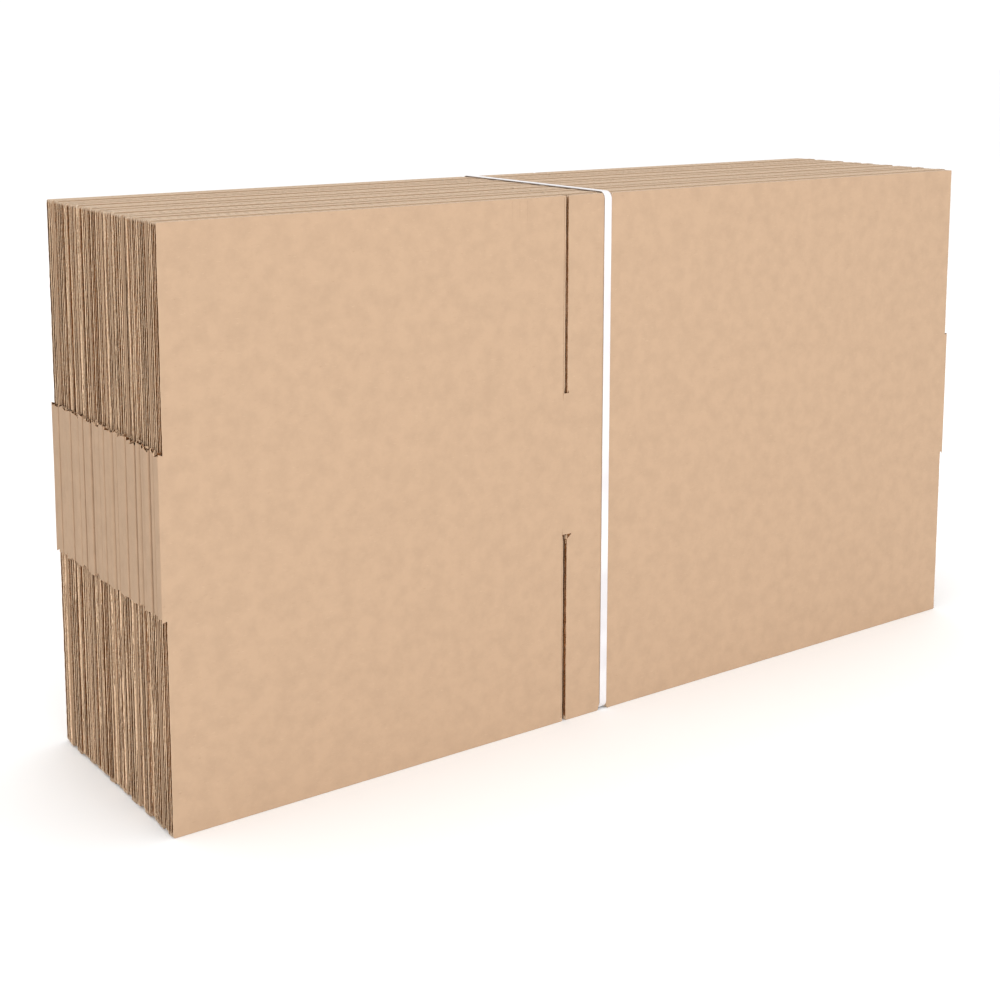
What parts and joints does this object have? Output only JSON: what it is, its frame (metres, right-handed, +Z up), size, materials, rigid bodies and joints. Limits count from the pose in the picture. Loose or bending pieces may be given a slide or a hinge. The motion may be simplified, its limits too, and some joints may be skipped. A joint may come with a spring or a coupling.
{
  "type": "strapped bundle of flattened cardboard boxes",
  "caption": "Flat-folded slotted corrugated cartons standing on their flap edges, bundled by a narrow plastic strap.",
  "frame": {"origin": "middle of the base, on the surface the bundle stands on", "axes": "+X along the bundle, to the right seen from the front; +Y to the back, through the stack; +Z up"},
  "size_m": [0.7008, 0.1742, 0.3738],
  "materials": {
    "kraft_board": "matte brown kraft corrugated board",
    "strap_plastic": "white polypropylene strap, semi-gloss"
  },
  "bodies": {
    "root": {"box_01": "kraft_board", "box_02": "kraft_board", "box_03": "kraft_board", "box_04": "kraft_board", "box_05": "kraft_board", "box_06": "kraft_board", "box_07": "kraft_board", "box_08": "kraft_board", "box_09": "kraft_board", "box_10": "kraft_board", "box_11": "kraft_board", "box_12": "kraft_board", "box_13": "kraft_board", "box_14": "kraft_board", "box_15": "kraft_board", "box_16": "kraft_board", "box_17": "kraft_board", "box_18": "kraft_board", "box_19": "kraft_board", "box_20": "kraft_board", "box_21": "kraft_board", "box_22": "kraft_board", "box_23": "kraft_board", "box_24": "kraft_board", "box_25": "kraft_board", "strap": "strap_plastic"}
  },
  "joints": []
}
